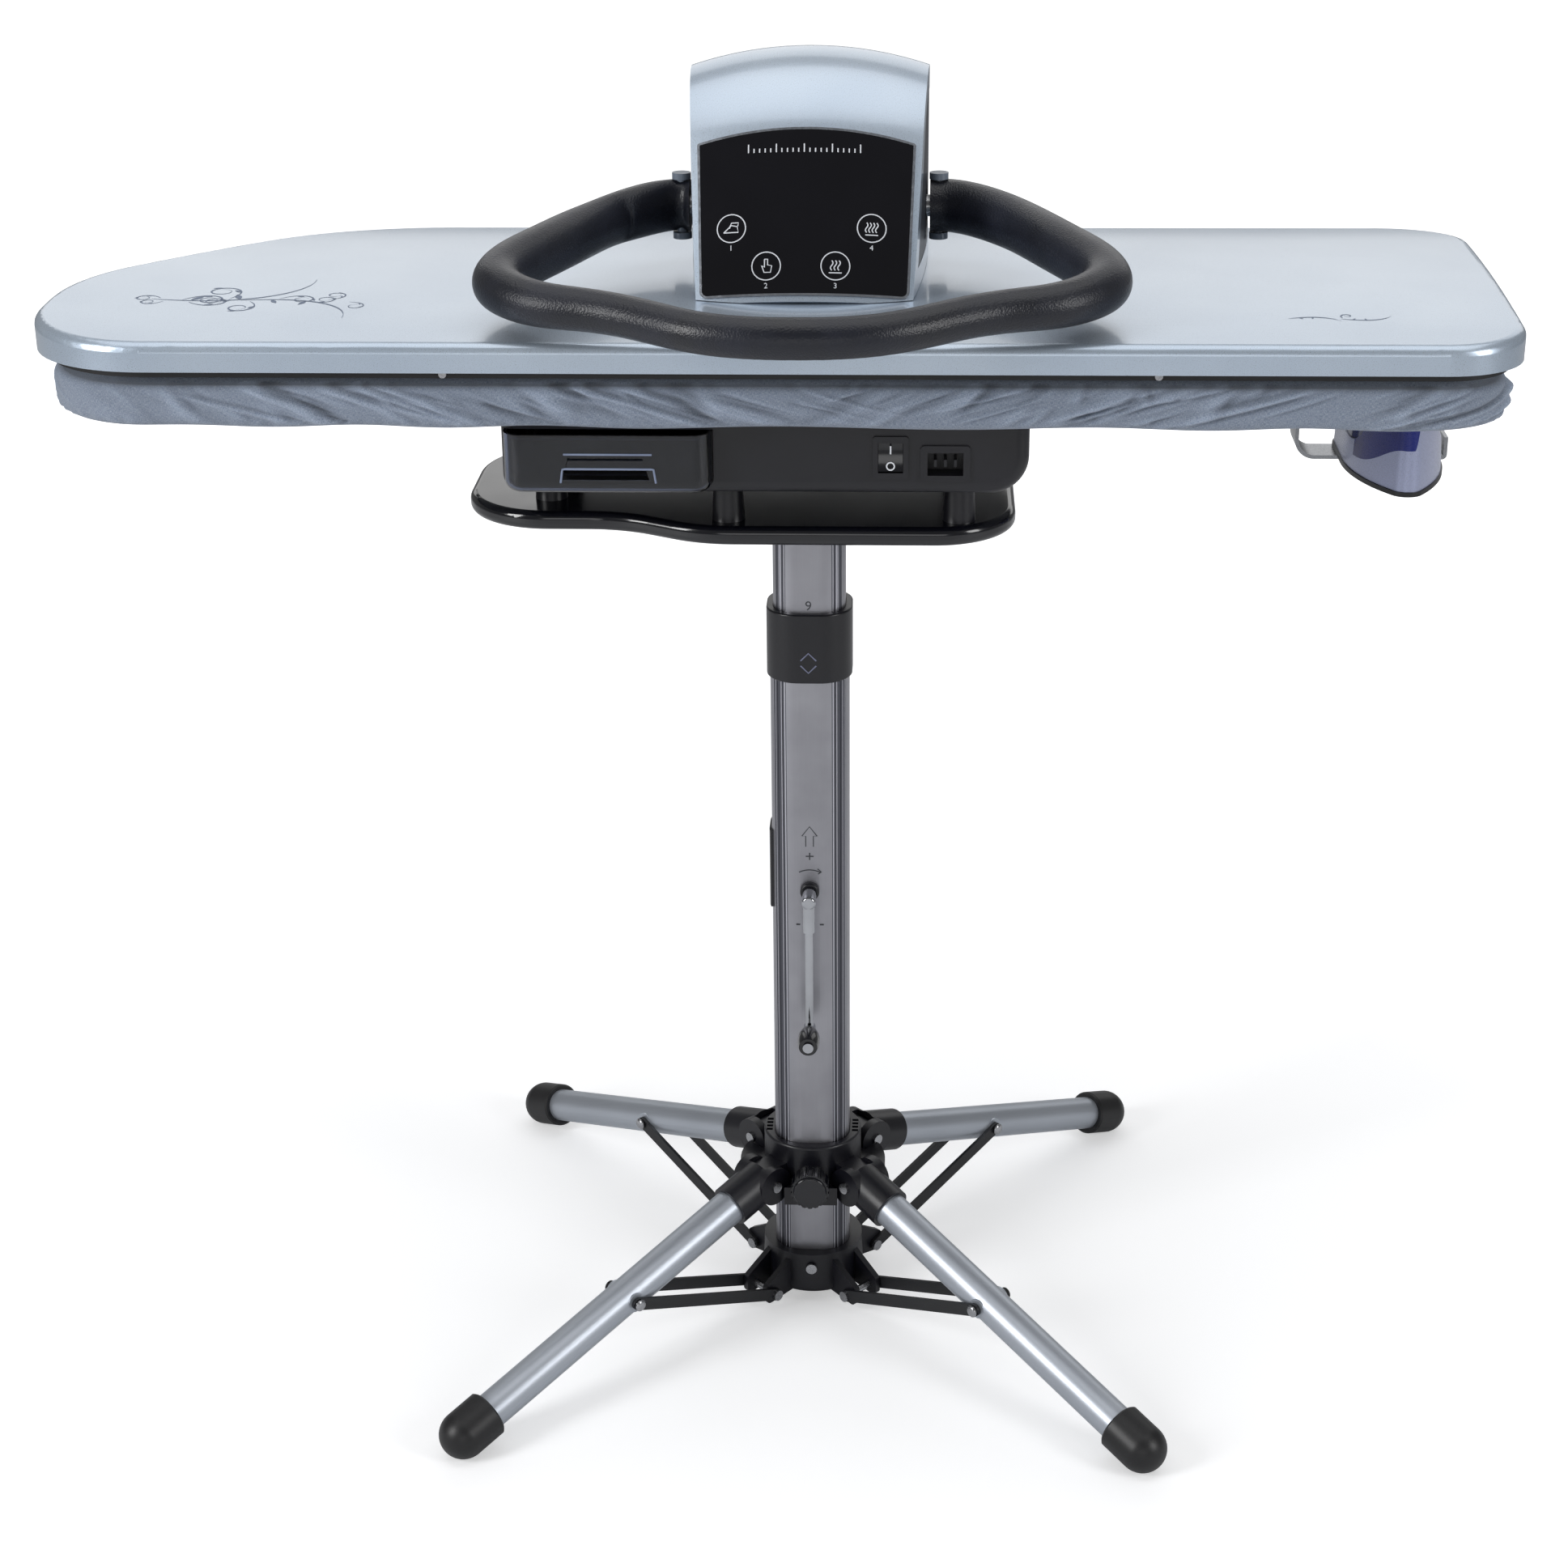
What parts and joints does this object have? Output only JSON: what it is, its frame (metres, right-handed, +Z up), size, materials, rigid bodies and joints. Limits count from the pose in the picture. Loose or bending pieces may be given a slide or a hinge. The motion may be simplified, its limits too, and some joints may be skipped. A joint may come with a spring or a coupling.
{
  "type": "steam press",
  "caption": "Steam press with a long padded board, hinged shoe, loop handle, crank-raised column, folding legs, water drawer and a small iron.",
  "frame": {"origin": "on the floor, under the middle of the bounding box; the column axis is 21.3 mm to the right of it", "axes": "+X to the right of the user who faces the press, +Y away from the user, +Z up"},
  "size_m": [1.0534, 0.5556, 1.0131],
  "materials": {
    "brushed_column": "fine vertical brushing, clear coated",
    "satin_black": "moulded with a fine grain",
    "gloss_black": "moulded in a polished tool",
    "steel": "zinc plated",
    "chrome": "bright plated",
    "smoke_clear": "smoke-tinted clear moulding",
    "pan_grey": "folded sheet, grey powder coat",
    "grey_fabric": "woven grey-blue heather over padding",
    "platen_alloy": "cast and machined flat",
    "silver_blue": "satin silver-blue paint",
    "frame_grey": "dark grey powder coat",
    "black_coat": "black powder coat",
    "silver_trim": "satin plated",
    "black_foam": "pebbled foam sleeve",
    "grey_plastic": "moulded caps",
    "black_rubber": "moulded, matt",
    "satin_silver": "satin silver lacquer on tube",
    "lilac_silver": "pearl lacquer",
    "blue_clear": "blue translucent moulding",
    "light_grey": "moulded"
  },
  "bodies": {
    "column": {"base_hub": "satin_black", "base_pins": "steel", "outer_column": "brushed_column", "column_collar": "satin_black", "side_cover_plate": "satin_black", "crank_bezel": "satin_black"},
    "hub": {"leg_hub": "satin_black", "leg_pivot_pins": "steel"},
    "lock_knob_body": {"lock_knob": "satin_black"},
    "mast": {"inner_column": "brushed_column", "height_rack": "steel", "tray": "gloss_black", "tray_feet": "satin_black", "housing_shell": "satin_black", "rocker_frame": "satin_black", "outlet_socket": "satin_black", "board_pan": "pan_grey", "board_cover": "grey_fabric", "hinge_bracket": "frame_grey", "hinge_pin": "steel", "iron_rest": "frame_grey"},
    "crank": {"crank_shaft": "steel", "pinion": "steel", "crank_arm": "chrome"},
    "crank_grip": {"crank_knob": "satin_black"},
    "tank": {"water_tank": "smoke_clear"},
    "rocker_body": {"rocker": "gloss_black"},
    "press": {"top_cover": "silver_blue", "platen": "platen_alloy", "platen_band": "satin_black", "band_screws": "steel", "arm_frame": "frame_grey", "arm_shell": "silver_blue", "arm_side_panels": "satin_black", "head_panel": "gloss_black", "head_trim": "silver_trim"},
    "handle": {"handle_grip": "black_foam", "handle_shaft": "steel", "handle_pins": "grey_plastic"},
    "iron": {"iron_soleplate": "platen_alloy", "iron_body": "lilac_silver", "iron_tank": "blue_clear", "iron_handle": "light_grey"},
    "leg_front_left": {"leg_tube_front_left": "satin_silver", "leg_sleeve_front_left": "satin_black", "foot_cap_front_left": "black_rubber"},
    "link_front_left": {"link_pair_front_left": "black_coat"},
    "leg_front_right": {"leg_tube_front_right": "satin_silver", "leg_sleeve_front_right": "satin_black", "foot_cap_front_right": "black_rubber"},
    "link_front_right": {"link_pair_front_right": "black_coat"},
    "leg_back_right": {"leg_tube_back_right": "satin_silver", "leg_sleeve_back_right": "satin_black", "foot_cap_back_right": "black_rubber"},
    "link_back_right": {"link_pair_back_right": "black_coat"},
    "leg_back_left": {"leg_tube_back_left": "satin_silver", "leg_sleeve_back_left": "satin_black", "foot_cap_back_left": "black_rubber"},
    "link_back_left": {"link_pair_back_left": "black_coat"}
  },
  "joints": [
    {"name": "hub_slide", "type": "slide", "parent": "column", "child": "hub", "axis": [0, 0, 1], "range_m": [0, 0.11]},
    {"name": "lock_knob_turn", "type": "hinge", "parent": "hub", "child": "lock_knob_body", "pos_m": [0.0213, -0.05, 0.121], "axis": [0, -1, 0], "range_deg": [0, 540]},
    {"name": "mast_slide", "type": "slide", "parent": "column", "child": "mast", "axis": [0, 0, 1], "range_m": [-0.072, 0]},
    {"name": "crank_turn", "type": "hinge", "parent": "column", "child": "crank", "pos_m": [0.0213, 0, 0.375], "axis": [0, 1, 0], "range_deg": [0, 393]},
    {"name": "crank_grip_spin", "type": "hinge", "parent": "crank", "child": "crank_grip", "pos_m": [0.0213, -0.07, 0.263], "axis": [0, 1, 0], "continuous": true},
    {"name": "press_hinge", "type": "hinge", "parent": "mast", "child": "press", "pos_m": [0.0213, 0.226, 0.842], "axis": [-1, 0, 0], "range_deg": [0, 65]},
    {"name": "handle_hinge", "type": "hinge", "parent": "press", "child": "handle", "pos_m": [0.0213, 0.05, 0.899], "axis": [-1, 0, 0], "range_deg": [0, 40]},
    {"name": "tank_slide", "type": "slide", "parent": "mast", "child": "tank", "axis": [0, -1, 0], "range_m": [0, 0.12]},
    {"name": "rocker_tilt", "type": "hinge", "parent": "mast", "child": "rocker_body", "pos_m": [0.0841, -0.137, 0.7605], "axis": [1, 0, 0], "range_deg": [0, 16]},
    {"name": "iron_slide", "type": "slide", "parent": "mast", "child": "iron", "axis": [0, -1, 0], "range_m": [0, 0.25]},
    {"name": "leg_fold_front_left", "type": "hinge", "parent": "hub", "child": "leg_front_left", "pos_m": [-0.01901, -0.04031, 0.118], "axis": [0.7071, -0.7071, 0], "range_deg": [0, 24.89]},
    {"name": "link_swing_front_left", "type": "hinge", "parent": "column", "child": "link_front_left", "pos_m": [-0.01901, -0.04031, 0.015], "axis": [0.7071, -0.7071, 0], "range_deg": [-23.02, 0]},
    {"name": "leg_fold_front_right", "type": "hinge", "parent": "hub", "child": "leg_front_right", "pos_m": [0.0616, -0.04031, 0.118], "axis": [0.7071, 0.7071, 0], "range_deg": [0, 24.89]},
    {"name": "link_swing_front_right", "type": "hinge", "parent": "column", "child": "link_front_right", "pos_m": [0.0616, -0.04031, 0.015], "axis": [0.7071, 0.7071, 0], "range_deg": [-23.02, 0]},
    {"name": "leg_fold_back_right", "type": "hinge", "parent": "hub", "child": "leg_back_right", "pos_m": [0.0616, 0.04031, 0.118], "axis": [-0.7071, 0.7071, 0], "range_deg": [0, 24.89]},
    {"name": "link_swing_back_right", "type": "hinge", "parent": "column", "child": "link_back_right", "pos_m": [0.0616, 0.04031, 0.015], "axis": [-0.7071, 0.7071, 0], "range_deg": [-23.02, 0]},
    {"name": "leg_fold_back_left", "type": "hinge", "parent": "hub", "child": "leg_back_left", "pos_m": [-0.01901, 0.04031, 0.118], "axis": [-0.7071, -0.7071, 0], "range_deg": [0, 24.89]},
    {"name": "link_swing_back_left", "type": "hinge", "parent": "column", "child": "link_back_left", "pos_m": [-0.01901, 0.04031, 0.015], "axis": [-0.7071, -0.7071, 0], "range_deg": [-23.02, 0]}
  ],
  "couplings": [
    {"joint": "crank_turn", "follows": "mast_slide", "rad_per_m": -95.238},
    {"joint": "leg_fold_front_left", "follows": "hub_slide", "rad_per_m": 3.9418},
    {"joint": "link_swing_front_left", "follows": "hub_slide", "rad_per_m": -3.6445},
    {"joint": "leg_fold_front_right", "follows": "hub_slide", "rad_per_m": 3.9418},
    {"joint": "link_swing_front_right", "follows": "hub_slide", "rad_per_m": -3.6445},
    {"joint": "leg_fold_back_right", "follows": "hub_slide", "rad_per_m": 3.9418},
    {"joint": "link_swing_back_right", "follows": "hub_slide", "rad_per_m": -3.6445},
    {"joint": "leg_fold_back_left", "follows": "hub_slide", "rad_per_m": 3.9418},
    {"joint": "link_swing_back_left", "follows": "hub_slide", "rad_per_m": -3.6445}
  ]
}
